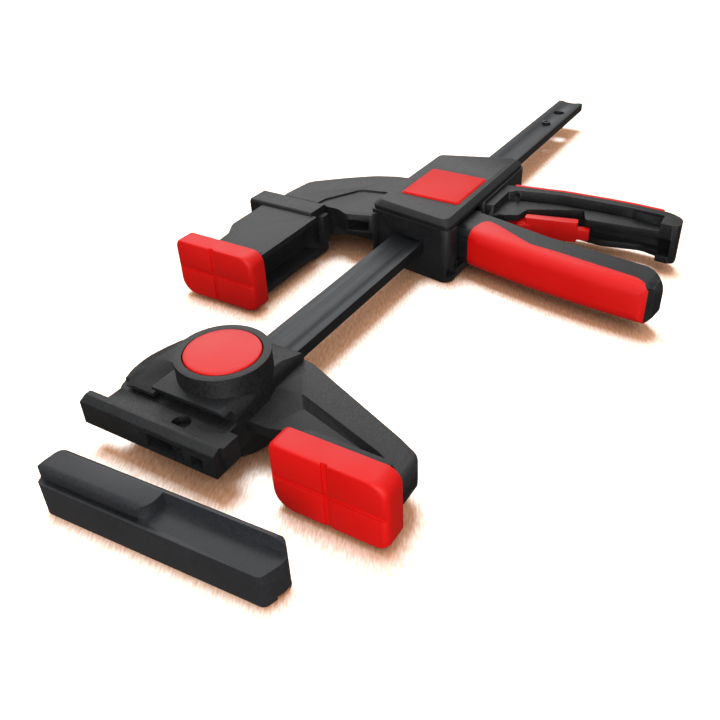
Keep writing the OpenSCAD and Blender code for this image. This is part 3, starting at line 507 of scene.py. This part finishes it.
# %% Floor
def make_floor(width, material):
    half = width / 2
    corners = [(-half, -half, 0), (half, -half, 0), (half, half, 0), (-half, half, 0)]
    mesh = bpy.data.meshes.new("floor")
    mesh.from_pydata(corners, [], [(0, 1, 2, 3)])
    mesh.materials.append(material)
    floor = bpy.data.objects.new("floor", mesh)
    bpy.context.scene.collection.objects.link(floor)
    floor.visible_glossy = False
    floor.visible_diffuse = False
    return floor


floor_width = 40
floor = make_floor(floor_width, tan_paper)
print("floor is", floor_width, "m wide")

# %% [markdown]
# ## Light on the clamp
#
# One broad softbox stands behind the clamp and above it. It glances off every top face towards the camera,
# which is what makes dark plastic look like slate. A weak one hangs over the clamp, and one at the camera's
# side fills the upright faces.

# %% Lamps
def lamp(kind, name, toward, energy):
    """A lamp whose light comes from the direction toward."""
    light = bpy.data.objects.new(name, bpy.data.lights.new(name, kind))
    light.data.energy = energy
    light.rotation_euler = (-Vector(toward)).to_track_quat("-Z", "Y").to_euler()
    bpy.context.scene.collection.objects.link(light)
    return light


def softbox(name, place, width, power):
    """A square softbox that is aimed at the clamp's middle."""
    middle = Vector((0.15, 0, 0))
    light = lamp("AREA", name, Vector(place) - middle, power)
    light.data.size = width
    light.location = place
    return light


on_the_clamp = [softbox("back_softbox", (1.1, 0.85, 1.15), width=1.6, power=19),
                softbox("top_softbox", (-0.2, 0.1, 1.8), width=1.4, power=9),
                softbox("front_fill", (-1.25, -0.85, 0.4), width=1.4, power=32)]
print(len(on_the_clamp), "softboxes on the clamp")

# %% [markdown]
# ## Light on the floor
#
# Two more lamps reach only the floor, so that it can be white without the clamp being overlit. They are
# suns, which light a floor of any size evenly. The strong one's colour is the paper's colour the other way
# round, so its light comes back white. It leans back a little, which sends the shadows towards the camera.
# The weak one is white and comes from a wide part of the sky, so it gets into the shadows and comes back
# tan.

# %% Floor lamps
def wide_sun(name, toward, angle, strength, colour):
    """Light from a round patch of sky that is as wide as the angle in degrees."""
    light = lamp("SUN", name, toward, strength)
    light.data.angle = math.radians(angle)
    light.data.color = colour
    return light


on_the_floor = [wide_sun("floor_wash", (0.17, 0.19, 1), angle=26, strength=16, colour=(0.314, 0.6, 1.0)),
                wide_sun("floor_haze", (0, 0, 1), angle=110, strength=1.9, colour=(1, 1, 1))]
print(len(on_the_floor), "suns on the floor")

# %% [markdown]
# ## Who lights what
#
# A lamp can be given a collection of the things that it may reach. One collection holds the floor, and the
# other one leaves the floor out, which covers every piece of the clamp without a list of them.

# %% Light linking
only_floor = bpy.data.collections.new("floor_only")
only_floor.objects.link(floor)
not_floor = bpy.data.collections.new("all_but_the_floor")
not_floor.objects.link(floor)
not_floor.collection_objects[0].light_linking.link_state = "EXCLUDE"
for light in on_the_floor:
    light.light_linking.receiver_collection = only_floor
for light in on_the_clamp:
    light.light_linking.receiver_collection = not_floor
print("linked", len(on_the_floor) + len(on_the_clamp), "lamps")

# %% [markdown]
# ## Sky
#
# The sky does the rest. It is bright overhead and dimmer towards the horizon, so that tops are lighter than
# sides. Below the horizon it is dim and warm, which stands for the light that a tan floor sends back. The
# picture is shown as it is, without a film look, so that the colours above keep their meaning.

# %% Sky
def make_sky(strength, horizon, ground):
    """White above, dimmer towards the horizon, and the colour ground below it. Heights go from -1 to 1."""
    meeting = 0.1
    full_white = 0.6
    world = bpy.data.worlds.new("studio")
    world.use_nodes = True
    tree = world.node_tree
    tree.nodes.clear()
    direction = add(tree, "ShaderNodeTexCoord").outputs["Generated"]
    height = add(tree, "ShaderNodeSeparateXYZ", {0: direction}).outputs["Z"]
    seam = {"Value": height, "From Min": -meeting, "From Max": meeting}
    ramp = add(tree, "ShaderNodeMapRange", seam).outputs[0]
    rise = {"Value": height, "From Max": full_white, "To Min": horizon}
    above = add(tree, "ShaderNodeMapRange", rise).outputs[0]
    sky = add(tree, "ShaderNodeCombineColor", {0: above, 1: above, 2: above}).outputs[0]
    level = add(tree, "ShaderNodeMix", {0: ramp, 6: ground, 7: sky}, data_type="RGBA").outputs[2]
    back = add(tree, "ShaderNodeBackground", {"Color": level, "Strength": strength})
    add(tree, "ShaderNodeOutputWorld", {"Surface": back.outputs[0]})
    return world


bpy.context.scene.world = make_sky(strength=0.65, horizon=0.45, ground=(0.2, 0.17, 0.14, 1))
bpy.context.scene.view_settings.view_transform = "Standard"
bpy.context.scene.view_settings.look = "None"
print("made the sky", bpy.context.scene.world.name)
